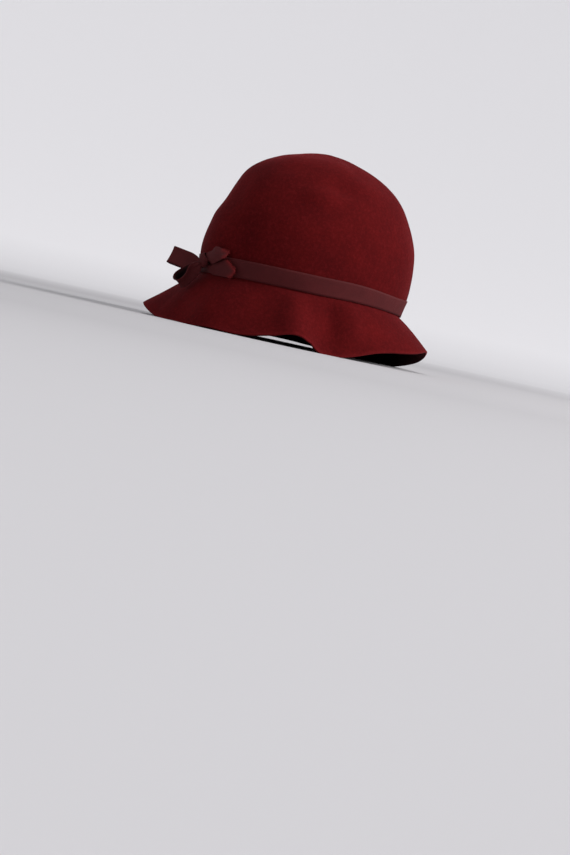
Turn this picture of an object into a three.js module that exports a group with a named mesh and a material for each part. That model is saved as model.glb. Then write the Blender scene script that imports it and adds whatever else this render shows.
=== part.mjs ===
// A soft felt cloche hat with a grosgrain ribbon band and bow, at its real size.
// Millimetres, +Z up. The brim rests on the plane z = 0, the front (the bow's side) faces -Y,
// and the wearer's left is +X. The origin is the middle of the hat's box, at its base.
// Angles go round the hat from the front, 0, to the wearer's left, 90, and the back, 180.

import * as THREE from 'three';

const DEG = Math.PI / 180;

// Felt: one blocked piece. The crease is the oval line where the crown meets the brim.
const FELT_THICKNESS = 2;
const CREASE_HALF_LENGTH = 95;
const CREASE_HALF_WIDTH = 82.5;
const CREASE_HEIGHT = 45;

// Where the crease oval's middle lies, so that the hat's box is centred on the origin.
const CREASE_MIDDLE_X = 0.66;
const CREASE_MIDDLE_Y = 1.31;

// Grosgrain ribbon, pressed double where it is tied.
const RIBBON_THICKNESS = 1;
const RIBBON_WIDTH = 15.4;
const CUPPED_WIDTH = 12.4;
const BAND_BOTTOM = 0.5;
const BAND_TOP = 16.3;
const GAP = 0.4;

// Crown outline, from the crease up to the top: height above the crease, and width as a
// share of the crease oval.
const CROWN_PROFILE = [
  { height: 0, width: 1 },
  { height: 18, width: 1.038 },
  { height: 30, width: 1.044 },
  { height: 44, width: 1.037 },
  { height: 56, width: 1.018 },
  { height: 72, width: 0.955 },
  { height: 89, width: 0.849 },
  { height: 102.5, width: 0.722 },
  { height: 109, width: 0.633 },
  { height: 116, width: 0.498 },
  { height: 122, width: 0.315 },
  { height: 126, width: 0.152 },
  { height: 127.4, width: 0 },
];

// Soft hollows pressed into the crown: where the deepest point is, how deep, and how far
// round and up the hollow reaches.
const CROWN_DENTS = [
  { angle: -33, height: 69, depth: 7.5, round: 26, rise: 28 },
  { angle: 118, height: 109, depth: 2.2, round: 28, rise: 12 },
  { angle: 232, height: 96, depth: 3, round: 30, rise: 16 },
];

// The crease isn't quite level: how far it rises above its height at each angle. The crown's
// wall takes up the rise over CREASE_RISE_FADE above it, the brim over its whole width.
const CREASE_RISE = [
  { angle: -45, rise: 0 },
  { angle: 0, rise: 1 },
  { angle: 30, rise: 1.6 },
  { angle: 60, rise: 1.7 },
  { angle: 90, rise: 2.8 },
  { angle: 115, rise: 1.8 },
  { angle: 145, rise: 0 },
  { angle: 230, rise: 0 },
];
const CREASE_RISE_FADE = 60;

// The brim's wavy edge: how far it reaches out from the crease and how far it drops below
// it. Where it drops past the surface that the hat rests on, the felt is pressed flat.
const BRIM_EDGE = [
  { angle: -35, reach: 45.9, drop: 35 },
  { angle: -12, reach: 33.5, drop: 44.6 },
  { angle: 6, reach: 28.6, drop: 47.2 },
  { angle: 22, reach: 31.8, drop: 43.4 },
  { angle: 36, reach: 30.9, drop: 43.4 },
  { angle: 49, reach: 33.4, drop: 38.6 },
  { angle: 60, reach: 37, drop: 34 },
  { angle: 73, reach: 27.8, drop: 46 },
  { angle: 84, reach: 28.4, drop: 43.2 },
  { angle: 98, reach: 31.5, drop: 34.5 },
  { angle: 120, reach: 35, drop: 28.4 },
  { angle: 145, reach: 32.1, drop: 25 },
  { angle: 166, reach: 31, drop: 36.5 },
  { angle: 186, reach: 24.5, drop: 46.6 },
  { angle: 203, reach: 22.5, drop: 47 },
  { angle: 222, reach: 27.5, drop: 43.4 },
  { angle: 246, reach: 33, drop: 41.6 },
  { angle: 268, reach: 31.8, drop: 43.2 },
  { angle: 286, reach: 26, drop: 47 },
  { angle: 303, reach: 31.5, drop: 43 },
];

// The brim leaves the crease steeply and straightens towards its edge, like a bell.
// Its bend point lies at a base distance plus a share of the reach and of the drop.
const BELL = { outBase: 8.25, outShare: 0.275, downBase: 7.9, downShare: 0.162 };

// The bow's knot sits on the band here.
const BOW_ANGLE = -2;
const BOW_HEIGHT = 11.5;

// A short step along the crown outline, from which its slope is taken.
const TANGENT_STEP = 0.5;

// How finely the felt and the ribbon are divided.
const COLUMNS = 96;
const OUTER_CROWN_ROWS = 15;
const OUTER_BRIM_ROWS = 8;
const INNER_CROWN_ROWS = 11;
const INNER_BRIM_ROWS = 5;

// One column of a table as a smooth curve through its rows. Slopes come from the
// neighbouring rows. With a period the curve closes on itself.
function smoothColumn(rows, along, column, at, period = 0) {
  const count = rows.length;
  const row = (i) => rows[((i % count) + count) % count];
  const knot = (i) => row(i)[along] + period * Math.floor(i / count);
  const secant = (i) => (row(i + 1)[column] - row(i)[column]) / (knot(i + 1) - knot(i));
  const slope = (i) => {
    if (!period && i === 0) return secant(0);
    if (!period && i === count - 1) return secant(count - 2);
    const before = knot(i) - knot(i - 1);
    const after = knot(i + 1) - knot(i);
    return (after * secant(i - 1) + before * secant(i)) / (before + after);
  };
  let place = at;
  if (period) place = rows[0][along] + ((((at - rows[0][along]) % period) + period) % period);
  const last = period ? count - 1 : count - 2;
  let i = 0;
  while (i < last && place > knot(i + 1)) i += 1;
  const span = knot(i + 1) - knot(i);
  const u = (place - knot(i)) / span;
  const start = row(i)[column];
  const end = row(i + 1)[column];
  const keepStart = (1 + 2 * u) * (1 - u) * (1 - u);
  const keepEnd = u * u * (3 - 2 * u);
  const leanStart = u * (1 - u) * (1 - u) * span;
  const leanEnd = u * u * (u - 1) * span;
  return keepStart * start + keepEnd * end + leanStart * slope(i) + leanEnd * slope(i + 1);
}

// The crown outline with its length along the curve, and one mirrored row past the top,
// which makes the top round.
function profileRows() {
  const top = CROWN_PROFILE[CROWN_PROFILE.length - 1];
  const beyond = CROWN_PROFILE[CROWN_PROFILE.length - 2];
  const outline = [...CROWN_PROFILE, { height: beyond.height, width: -beyond.width }];
  let length = 0;
  let topLength = 0;
  const rows = outline.map((row, i) => {
    if (i > 0) {
      const across = (row.width - outline[i - 1].width) * CREASE_HALF_LENGTH;
      length += Math.hypot(row.height - outline[i - 1].height, across);
    }
    if (row === top) topLength = length;
    return { ...row, length };
  });
  return { rows, topLength };
}

const PROFILE = profileRows();

function creaseRadius(angle) {
  const along = Math.cos(angle * DEG) / CREASE_HALF_LENGTH;
  const across = Math.sin(angle * DEG) / CREASE_HALF_WIDTH;
  return 1 / Math.hypot(along, across);
}

// A point at a radius and a height, on the side of the hat that the angle says.
function around(angle, radius, height) {
  const x = radius * Math.sin(angle * DEG);
  const y = -radius * Math.cos(angle * DEG);
  return new THREE.Vector3(CREASE_MIDDLE_X + x, CREASE_MIDDLE_Y + y, CREASE_HEIGHT + height);
}

function creaseRise(angle) {
  return smoothColumn(CREASE_RISE, 'angle', 'rise', angle, 360);
}

// Outer face of the crown, up being the share of the way from the crease to the top.
function crownPoint(angle, up) {
  const at = up * PROFILE.topLength;
  const height = smoothColumn(PROFILE.rows, 'length', 'height', at);
  const width = smoothColumn(PROFILE.rows, 'length', 'width', at);
  const rise = smoothColumn(PROFILE.rows, 'length', 'height', at + TANGENT_STEP) - height;
  const spread = smoothColumn(PROFILE.rows, 'length', 'width', at + TANGENT_STEP) - width;
  const tangent = new THREE.Vector2(spread * creaseRadius(angle), rise).normalize();
  let push = 0;
  for (const dent of CROWN_DENTS) {
    const away = ((angle - dent.angle + 540) % 360) - 180;
    const round = away / dent.round;
    const high = (height - dent.height) / dent.rise;
    push += dent.depth * Math.exp(-round * round - high * high);
  }
  const radius = width * creaseRadius(angle) - push * tangent.y;
  const lifted = creaseRise(angle) * Math.max(1 - height / CREASE_RISE_FADE, 0) ** 2;
  return around(angle, radius, height + push * tangent.x + lifted);
}

// Outer face of the brim, out being the share of the way from the crease to the edge.
function brimPoint(angle, out) {
  const reach = smoothColumn(BRIM_EDGE, 'angle', 'reach', angle, 360);
  const drop = smoothColumn(BRIM_EDGE, 'angle', 'drop', angle, 360);
  const bendOut = BELL.outBase + BELL.outShare * reach;
  const bendDown = BELL.downBase + BELL.downShare * drop;
  const bend = 2 * out * (1 - out);
  const radius = creaseRadius(angle) + bend * bendOut + out * out * reach;
  const lifted = creaseRise(angle) * (1 - out) ** 2;
  return around(angle, radius, lifted - bend * bendDown - out * out * drop);
}

// The whole outer face: 0 is the top of the crown, 1 the crease and 2 the brim's edge.
function feltPoint(angle, along) {
  return along < 1 ? crownPoint(angle, 1 - along) : brimPoint(angle, along - 1);
}

// Outward direction of one part of the outer face, from short steps round it and down it.
function directionOf(face, angle, along, low, high) {
  const step = 0.01;
  const down = face(angle, Math.min(along + step, high));
  down.sub(face(angle, Math.max(along - step, low)));
  const round = face(angle + 1, along).sub(face(angle - 1, along));
  return round.cross(down).negate().normalize();
}

// The felt's inner face lies one thickness inside. At the crease the two faces' directions
// are averaged and lengthened, as in a mitred corner.
function innerPoint(angle, along) {
  const place = feltPoint(angle, along);
  if (along === 0) return place.add(new THREE.Vector3(0, 0, -FELT_THICKNESS));
  const above = directionOf(feltPoint, angle, along, 0.002, along < 1 ? 1 : 0.999);
  if (along < 1) return place.addScaledVector(above, -FELT_THICKNESS);
  const below = directionOf(feltPoint, angle, along, 1, 2);
  if (along > 1) return place.addScaledVector(below, -FELT_THICKNESS);
  const wall = directionOf(feltPoint, angle, 0.99, 0, 1);
  const corner = wall.clone().add(below).normalize();
  return place.addScaledVector(corner, -FELT_THICKNESS / corner.dot(wall));
}

// Rings of points to one closed mesh. Each end is closed by a single point, or the last
// ring joins the first.
function meshFromRings(rings, poles) {
  const points = rings.flat();
  const size = rings[0].length;
  const faces = [];
  const spans = poles ? rings.length - 1 : rings.length;
  for (let i = 0; i < spans; i += 1) {
    const here = i * size;
    const next = ((i + 1) % rings.length) * size;
    for (let k = 0; k < size; k += 1) {
      const turn = (k + 1) % size;
      faces.push(here + k, next + k, next + turn);
      faces.push(here + k, next + turn, here + turn);
    }
  }
  if (poles) {
    const last = (rings.length - 1) * size;
    points.push(poles.first, poles.last);
    for (let k = 0; k < size; k += 1) {
      const turn = (k + 1) % size;
      faces.push(points.length - 2, k, turn);
      faces.push(points.length - 1, last + turn, last + k);
    }
  }
  const geometry = new THREE.BufferGeometry().setFromPoints(points);
  geometry.setIndex(faces);
  geometry.computeVertexNormals();
  return geometry;
}

function ringAt(place) {
  const ring = [];
  for (let k = 0; k < COLUMNS; k += 1) ring.push(place((360 * k) / COLUMNS));
  return ring;
}

function onTheTable(point) {
  return new THREE.Vector3(point.x, point.y, Math.max(point.z, 0));
}

function feltGeometry() {
  const rings = [];
  const outer = (along) => rings.push(ringAt((a) => onTheTable(feltPoint(a, along))));
  const inner = (along) => rings.push(ringAt((a) => onTheTable(innerPoint(a, along))));
  for (let i = 1; i <= OUTER_CROWN_ROWS; i += 1) outer(i / OUTER_CROWN_ROWS);
  for (let i = 1; i <= OUTER_BRIM_ROWS; i += 1) outer(1 + i / OUTER_BRIM_ROWS);
  for (let i = INNER_BRIM_ROWS; i >= 1; i -= 1) inner(1 + i / INNER_BRIM_ROWS);
  for (let i = INNER_CROWN_ROWS; i >= 1; i -= 1) inner(i / INNER_CROWN_ROWS);
  return meshFromRings(rings, { first: feltPoint(0, 0), last: innerPoint(0, 0) });
}

// A point on the crown's wall at a height above the crease, lifted off the felt.
function wallPoint(angle, height, lift) {
  let low = 0;
  let high = 0.5;
  for (let i = 0; i < 30; i += 1) {
    const middle = (low + high) / 2;
    if (crownPoint(angle, middle).z - CREASE_HEIGHT < height) low = middle;
    else high = middle;
  }
  const along = 1 - (low + high) / 2;
  const out = directionOf(feltPoint, angle, along, 0.002, 1);
  return feltPoint(angle, along).addScaledVector(out, lift);
}

// The band's upper edge has slipped a little towards the back on the wearer's left.
const BAND_DIP = { angle: 122, depth: 1.5, round: 24 };

function bandHeight(angle, share) {
  const away = ((angle - BAND_DIP.angle + 540) % 360) - 180;
  const top = BAND_TOP - BAND_DIP.depth * Math.exp(-((away / BAND_DIP.round) ** 2));
  return BAND_BOTTOM + (top - BAND_BOTTOM) * share + creaseRise(angle);
}

function bandGeometry() {
  const back = GAP;
  const front = GAP + RIBBON_THICKNESS;
  const section = [
    { share: 1, lift: front },
    { share: 0.5, lift: front },
    { share: 0, lift: front },
    { share: 0, lift: back },
    { share: 0.5, lift: back },
    { share: 1, lift: back },
  ];
  const rings = section.map((row) => ringAt((a) => wallPoint(a, bandHeight(a, row.share), row.lift)));
  return meshFromRings(rings, null);
}

// The bow's own directions: out of the hat, to the wearer's left, and up.
const BOW_FOOT = wallPoint(BOW_ANGLE, BOW_HEIGHT + creaseRise(BOW_ANGLE), 0);
const BOW_OUT = wallPoint(BOW_ANGLE, BOW_HEIGHT + creaseRise(BOW_ANGLE), 1).sub(BOW_FOOT).normalize();
const BOW_LEFT = new THREE.Vector3(0, 0, 1).cross(BOW_OUT).normalize();
const BOW_UP = BOW_OUT.clone().cross(BOW_LEFT).normalize();

function bowDirection(out, left, up) {
  const direction = BOW_OUT.clone().multiplyScalar(out);
  return direction.addScaledVector(BOW_LEFT, left).addScaledVector(BOW_UP, up);
}

function bowPoint(out, left, up) {
  return BOW_FOOT.clone().add(bowDirection(out, left, up));
}

// A ribbon from pairs of edge points. Each pair has the direction in which the ribbon is
// thick.
function ribbonGeometry(pairs) {
  const half = RIBBON_THICKNESS / 2;
  const rings = pairs.map(({ low, high, face }) => [
    low.clone().addScaledVector(face, half),
    high.clone().addScaledVector(face, half),
    high.clone().addScaledVector(face, -half),
    low.clone().addScaledVector(face, -half),
  ]);
  return meshFromRings(rings, { first: middleOf(rings[0]), last: middleOf(rings.at(-1)) });
}

function middleOf(corners) {
  const sum = new THREE.Vector3();
  for (const corner of corners) sum.add(corner);
  return sum.multiplyScalar(1 / corners.length);
}

// Where a loop's outline has its points: shares of its straight part, and angles of its
// round end. GATHERED says over which share of its length the ribbon widens from its
// gathered root.
const STRAIGHT_SHARES = [0, 0.12, 0.3, 0.5, 0.7, 0.88];
const ROUND_ANGLES = [90, 62, 34, 0];
const GATHERED = 0.45;

// A loop of ribbon that leaves the knot, opens to a drop shape and comes back. Its root is
// gathered, so the ribbon is narrower there. The higher its pinch, the later it opens, and
// its twist turns it about its own length, from the first angle at its root to the second
// at its end.
function loopGeometry({ root, run, face, length, opening, rootWidth, width, endWidth, pinch, twist }) {
  const along = run.clone().normalize();
  const flat = face.clone().addScaledVector(along, -face.dot(along)).normalize();
  const round = opening / 2;
  const straight = length - round;
  const rootHalf = RIBBON_THICKNESS / 2 + GAP / 2;
  const outline = [];
  for (const share of STRAIGHT_SHARES) {
    const swell = Math.sin((share * Math.PI) / 2) ** pinch;
    outline.push({ x: share * straight, y: rootHalf + (round - rootHalf) * swell });
  }
  for (const turn of ROUND_ANGLES) {
    outline.push({ x: straight + round * Math.cos(turn * DEG), y: round * Math.sin(turn * DEG) });
  }
  const back = outline.slice(0, -1).reverse();
  const path = [...outline, ...back.map(({ x, y }) => ({ x, y: -y }))];
  const lifts = path.map(({ x }) => {
    const turn = twist[0] + ((twist[1] - twist[0]) * x) / length;
    return flat.clone().applyAxisAngle(along, turn * DEG);
  });
  const spots = path.map(({ x, y }, i) => {
    return root.clone().addScaledVector(along, x).addScaledVector(lifts[i], y);
  });
  const pairs = spots.map((spot, i) => {
    const before = spots[Math.max(i - 1, 0)];
    const after = spots[Math.min(i + 1, spots.length - 1)];
    const across = along.clone().cross(lifts[i]);
    const normal = after.clone().sub(before).cross(across).normalize();
    const gathered = Math.min(path[i].x / (GATHERED * length), 1);
    const widest = width + (endWidth - width) * (path[i].x / length) ** 2;
    const half = (rootWidth + (widest - rootWidth) * Math.sin((gathered * Math.PI) / 2)) / 2;
    const low = spot.clone().addScaledVector(across, -half);
    const high = spot.clone().addScaledVector(across, half);
    return { low, high, face: normal };
  });
  return ribbonGeometry(pairs);
}

// A tail that lies along the crown. Each row gives both edges: how far round from the knot
// to the wearer's left, how far above the knot's middle, and the lift off the felt.
function tailGeometry(rows) {
  const spot = (round, above, lift) => {
    const angle = BOW_ANGLE + round / (creaseRadius(BOW_ANGLE) * DEG);
    return wallPoint(angle, BOW_HEIGHT + creaseRise(angle) + above, lift);
  };
  const pairs = rows.map((row) => {
    const low = spot(row.lowRound, row.lowAbove, row.lift);
    const high = spot(row.highRound, row.highAbove, row.lift);
    const middle = [(row.lowRound + row.highRound) / 2, (row.lowAbove + row.highAbove) / 2];
    const face = spot(...middle, row.lift + 1).sub(spot(...middle, row.lift)).normalize();
    return { low, high, face };
  });
  return ribbonGeometry(pairs);
}

const UPPER_TAIL = [
  { lowRound: 9, lowAbove: 0.2, highRound: 5.8, highAbove: 6, lift: 4.2 },
  { lowRound: 13.5, lowAbove: -1.6, highRound: 9, highAbove: 8.2, lift: 4.2 },
  { lowRound: 22, lowAbove: 1.6, highRound: 14.4, highAbove: 12.2, lift: 4.4 },
  { lowRound: 29.4, lowAbove: 5.8, highRound: 29.6, highAbove: 9.4, lift: 4.6 },
];

const SIDE_TAIL = [
  { lowRound: 5, lowAbove: -9.6, highRound: 6.4, highAbove: -5.4, lift: 2.5 },
  { lowRound: 13, lowAbove: -11.8, highRound: 13.5, highAbove: -2.4, lift: 2.7 },
  { lowRound: 22.5, lowAbove: -12, highRound: 21.5, highAbove: 0.6, lift: 2.9 },
  { lowRound: 31.5, lowAbove: -11.8, highRound: 28.6, highAbove: 2.6, lift: 3 },
  { lowRound: 38.4, lowAbove: -5.2, highRound: 37.8, highAbove: -3.8, lift: 3.3 },
];

// The knot: a small barrel of pressed ribbon, its axis slanting as the wrap does.
const KNOT = { length: 12, width: 10, depth: 5.6, slant: 45, narrowing: 0.3, sides: 12, rows: 5 };

function knotGeometry() {
  const slant = KNOT.slant * DEG;
  const axis = bowDirection(0, Math.cos(slant), Math.sin(slant));
  const across = bowDirection(0, -Math.sin(slant), Math.cos(slant));
  const middle = bowPoint(2 * GAP + RIBBON_THICKNESS + KNOT.depth / 2, 0, 0);
  const rings = [];
  for (let i = 0; i < KNOT.rows; i += 1) {
    const share = (2 * i) / (KNOT.rows - 1) - 1;
    const belly = 1 - KNOT.narrowing * share * share;
    const ring = [];
    for (let k = 0; k < KNOT.sides; k += 1) {
      const turn = (-2 * Math.PI * k) / KNOT.sides;
      const point = middle.clone().addScaledVector(axis, (share * KNOT.length) / 2);
      point.addScaledVector(across, (belly * KNOT.width * Math.cos(turn)) / 2);
      ring.push(point.addScaledVector(BOW_OUT, (belly * KNOT.depth * Math.sin(turn)) / 2));
    }
    rings.push(ring);
  }
  return meshFromRings(rings, { first: middleOf(rings[0]), last: middleOf(rings.at(-1)) });
}

const feltMaterial = new THREE.MeshStandardMaterial({ color: 0x4a1012, roughness: 0.95, metalness: 0 });
const ribbonMaterial = new THREE.MeshStandardMaterial({ color: 0x582728, roughness: 0.7, metalness: 0 });

const hat = new THREE.Group();

function addPiece(name, geometry, material) {
  const piece = new THREE.Mesh(geometry, material.clone());
  piece.name = name;
  hat.add(piece);
}

addPiece('felt_body', feltGeometry(), feltMaterial);
addPiece('ribbon_band', bandGeometry(), ribbonMaterial);
addPiece('bow_knot', knotGeometry(), ribbonMaterial);
addPiece('bow_side_loop', loopGeometry({
  root: bowPoint(4.2, -7.2, -5.5),
  run: bowDirection(0.5, -0.85, 0.24),
  face: bowDirection(0.75, 0.52, 0.45),
  length: 32,
  opening: 4.6,
  rootWidth: 9,
  width: RIBBON_WIDTH,
  endWidth: RIBBON_WIDTH,
  pinch: 1.3,
  twist: [0, 0],
}), ribbonMaterial);
addPiece('bow_front_loop', loopGeometry({
  root: bowPoint(8.2, -0.2, -4.1),
  run: bowDirection(0.68, -0.38, -0.62),
  face: bowDirection(-0.092, 0.85, -0.532),
  length: 24.5,
  opening: 8.6,
  rootWidth: 7,
  width: CUPPED_WIDTH,
  endWidth: 11,
  pinch: 3.4,
  twist: [40, 12],
}), ribbonMaterial);
addPiece('bow_upper_tail', tailGeometry(UPPER_TAIL), ribbonMaterial);
addPiece('bow_side_tail', tailGeometry(SIDE_TAIL), ribbonMaterial);

export default hat;
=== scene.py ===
# %% [markdown]
# A soft felt cloche hat with a grosgrain ribbon and bow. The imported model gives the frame:
# metres, +Z up, the brim resting on z = 0, the bow at the front, which is -Y, and the
# wearer's left at +X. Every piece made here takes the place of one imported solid.

# %% Frame
import bpy
import math
import numpy as np
from mathutils import Matrix, Vector, noise


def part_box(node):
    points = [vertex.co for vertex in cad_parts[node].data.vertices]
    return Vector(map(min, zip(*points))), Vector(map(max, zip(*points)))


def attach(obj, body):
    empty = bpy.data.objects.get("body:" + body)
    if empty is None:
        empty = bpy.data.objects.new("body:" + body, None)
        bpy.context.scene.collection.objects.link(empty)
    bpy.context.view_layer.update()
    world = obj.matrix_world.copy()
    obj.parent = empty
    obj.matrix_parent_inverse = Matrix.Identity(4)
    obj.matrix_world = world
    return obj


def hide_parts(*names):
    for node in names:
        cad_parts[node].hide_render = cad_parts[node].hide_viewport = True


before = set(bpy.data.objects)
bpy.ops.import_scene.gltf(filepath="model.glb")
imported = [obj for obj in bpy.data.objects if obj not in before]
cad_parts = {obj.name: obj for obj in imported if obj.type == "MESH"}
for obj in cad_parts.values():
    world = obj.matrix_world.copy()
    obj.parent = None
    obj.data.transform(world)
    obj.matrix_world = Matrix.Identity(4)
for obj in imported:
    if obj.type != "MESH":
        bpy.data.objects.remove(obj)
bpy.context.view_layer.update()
print("nodes in the frame:", sorted(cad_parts))

MM = 0.001
RIBBON_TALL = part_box("ribbon_band")[1][2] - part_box("ribbon_band")[0][2]
print("ribbon band height in mm:", round(RIBBON_TALL / MM, 1))

# %% [markdown]
# The camera looks at the hat's left front, level with the brim, as a camera on a low table
# would, and it leans to one side, so the hat tips down to the right in the picture. It is
# placed from the line of sight to the middle of the crease, the oval where crown and brim
# meet, and then turned until that point falls on its pixel of the picture.

# %% Camera
PICTURE = (570, 855)
CREASE_MIDDLE = Vector((0.66, 1.31, 45)) * MM
SIGHT_AZIMUTH = math.radians(57)
SIGHT_RISE = math.radians(-1.0)
SIGHT_DISTANCE = 1.4
LEAN = math.radians(12.36)
CREASE_PIXEL = (300.3, 295.8)
FOCAL_PIXELS = 1554.4
SENSOR_WIDTH = 36.0


def camera_axes():
    """The camera's right, up and back directions, as the columns of a matrix."""
    back = Vector((
        math.sin(SIGHT_AZIMUTH) * math.cos(SIGHT_RISE),
        -math.cos(SIGHT_AZIMUTH) * math.cos(SIGHT_RISE),
        math.sin(SIGHT_RISE),
    ))
    level_right = Vector((0, 0, 1)).cross(back).normalized()
    level_up = back.cross(level_right)
    right = level_right * math.cos(LEAN) + level_up * math.sin(LEAN)
    up = level_up * math.cos(LEAN) - level_right * math.sin(LEAN)
    level = Matrix((right, up, back)).transposed()
    across = (CREASE_PIXEL[0] - PICTURE[0] / 2) / FOCAL_PIXELS
    down = (CREASE_PIXEL[1] - PICTURE[1] / 2) / FOCAL_PIXELS
    towards = Vector((across, -down, -1)).normalized()
    turn = towards.rotation_difference(Vector((0, 0, -1))).to_matrix()
    return level @ turn, back


axes, back = camera_axes()
camera_data = bpy.data.cameras.new("camera")
camera_data.sensor_width = SENSOR_WIDTH
camera_data.lens = FOCAL_PIXELS * SENSOR_WIDTH / PICTURE[1]
camera_data.clip_start = 0.05
camera_data.clip_end = 50
camera = bpy.data.objects.new("camera", camera_data)
bpy.context.scene.collection.objects.link(camera)
camera.matrix_world = Matrix.Translation(CREASE_MIDDLE + back * SIGHT_DISTANCE) @ axes.to_4x4()
bpy.context.scene.camera = camera
print("camera height in mm:", round(camera.matrix_world.translation.z / MM, 1))
print("lens in mm:", round(camera_data.lens, 1))

# %% [markdown]
# A felt hat is blocked: a wet hood of felt is pulled over a wooden shape and dries in its
# form. So its shape follows a rule, an outline that runs round an oval, with soft hollows
# from handling and a brim that waves. The rule is written here as short tables and smooth
# curves through them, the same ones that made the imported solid, but sampled far more
# finely. Sizes in the tables are in millimetres and angles in degrees, from the front, 0,
# to the wearer's left, 90.

# %% The hat's measures
CREASE_HALF_LENGTH = 95
CREASE_HALF_WIDTH = 82.5
FELT_THICKNESS = 2


def table(columns, *rows):
    """Rows of numbers as dictionaries, with one key for each named column."""
    return [dict(zip(columns.split(), row)) for row in rows]


CROWN_PROFILE = table(
    "height width",
    (0, 1),
    (18, 1.038),
    (30, 1.044),
    (44, 1.037),
    (56, 1.018),
    (72, 0.955),
    (89, 0.849),
    (102.5, 0.722),
    (109, 0.633),
    (116, 0.498),
    (122, 0.315),
    (126, 0.152),
    (127.4, 0),
)

CROWN_DENTS = table(
    "angle height depth round rise",
    (-33, 69, 7.5, 26, 28),
    (118, 109, 2.2, 28, 12),
    (232, 96, 3, 30, 16),
)

CREASE_RISE = table(
    "angle rise",
    (-45, 0),
    (0, 1),
    (30, 1.6),
    (60, 1.7),
    (90, 2.8),
    (115, 1.8),
    (145, 0),
    (230, 0),
)
CREASE_RISE_FADE = 60

BRIM_EDGE = table(
    "angle reach drop",
    (-35, 45.9, 35),
    (-12, 33.5, 44.6),
    (6, 28.6, 47.2),
    (22, 31.8, 43.4),
    (36, 30.9, 43.4),
    (49, 33.4, 38.6),
    (60, 37, 34),
    (73, 27.8, 46),
    (84, 28.4, 43.2),
    (98, 31.5, 34.5),
    (120, 35, 28.4),
    (145, 32.1, 25),
    (166, 31, 36.5),
    (186, 24.5, 46.6),
    (203, 22.5, 47),
    (222, 27.5, 43.4),
    (246, 33, 41.6),
    (268, 31.8, 43.2),
    (286, 26, 47),
    (303, 31.5, 43),
)

BELL = {"out_base": 8.25, "out_share": 0.275, "down_base": 7.9, "down_share": 0.162}


def column(rows, key):
    """One named column of a table, as an array."""
    return np.array([row[key] for row in rows], dtype=float)


def smooth(knots, values, at, period=0):
    """A smooth curve through a table's rows, its slopes taken from the neighbours."""
    at = np.asarray(at, dtype=float)
    if period:
        at = knots[0] + (at - knots[0]) % period
        knots = np.concatenate(([knots[-1] - period], knots, knots[:2] + period))
        values = np.concatenate((values[-1:], values, values[:2]))
    gaps = np.diff(knots)
    secants = np.diff(values) / gaps
    slopes = np.empty(len(knots))
    slopes[1:-1] = (gaps[1:] * secants[:-1] + gaps[:-1] * secants[1:]) / (gaps[1:] + gaps[:-1])
    slopes[0] = secants[0]
    slopes[-1] = secants[-1]
    i = np.clip(np.searchsorted(knots, at, side="right") - 1, 0, len(knots) - 2)
    u = (at - knots[i]) / gaps[i]
    ends = (1 + 2 * u) * (1 - u) ** 2 * values[i] + u * u * (3 - 2 * u) * values[i + 1]
    leans = u * (1 - u) ** 2 * slopes[i] + u * u * (u - 1) * slopes[i + 1]
    return ends + leans * gaps[i]


print("rows in the brim's table:", len(BRIM_EDGE))

# %% [markdown]
# The crown's outline runs from the crease to the top and is the same curve all the way round,
# only wider or narrower with the oval. So a point on it needs an angle and a share of the
# way up. A dent pushes the wall in along its own normal, as a hand does. The brim bends out
# from the crease like a bell and ends at its waving edge.

# %% The felt's outer face
SLOPE_STEP = 0.5
PROFILE_HEIGHTS = np.append(column(CROWN_PROFILE, "height"), CROWN_PROFILE[-2]["height"])
PROFILE_WIDTHS = np.append(column(CROWN_PROFILE, "width"), -CROWN_PROFILE[-2]["width"])
PROFILE_STEPS = np.hypot(np.diff(PROFILE_HEIGHTS), np.diff(PROFILE_WIDTHS) * CREASE_HALF_LENGTH)
PROFILE_LENGTHS = np.concatenate(([0], np.cumsum(PROFILE_STEPS)))
TOP_LENGTH = PROFILE_LENGTHS[-2]


def bell(distance, width):
    """1 in the middle, fading to 0 beyond a width."""
    return np.exp(-((distance / width) ** 2))


def turn_between(angle, middle):
    """How far an angle lies from another, from -180 to 180 degrees."""
    return (angle - middle + 540) % 360 - 180


def unit(vectors):
    """The same directions with length 1."""
    return vectors / np.maximum(np.linalg.norm(vectors, axis=-1, keepdims=True), 1e-12)


def crease_radius(angle):
    turn = np.radians(angle)
    return 1 / np.hypot(np.cos(turn) / CREASE_HALF_LENGTH, np.sin(turn) / CREASE_HALF_WIDTH)


def around(angle, radius, height):
    """Points at an angle, a radius and a height above the crease, in metres."""
    turn = np.radians(angle)
    x = radius * np.sin(turn) * MM + CREASE_MIDDLE.x
    y = -radius * np.cos(turn) * MM + CREASE_MIDDLE.y
    return np.stack(np.broadcast_arrays(x, y, height * MM + CREASE_MIDDLE.z), axis=-1)


def crease_rise(angle):
    """How much higher than its middle the crease lies at an angle, in millimetres."""
    return smooth(column(CREASE_RISE, "angle"), column(CREASE_RISE, "rise"), angle, 360)


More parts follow.
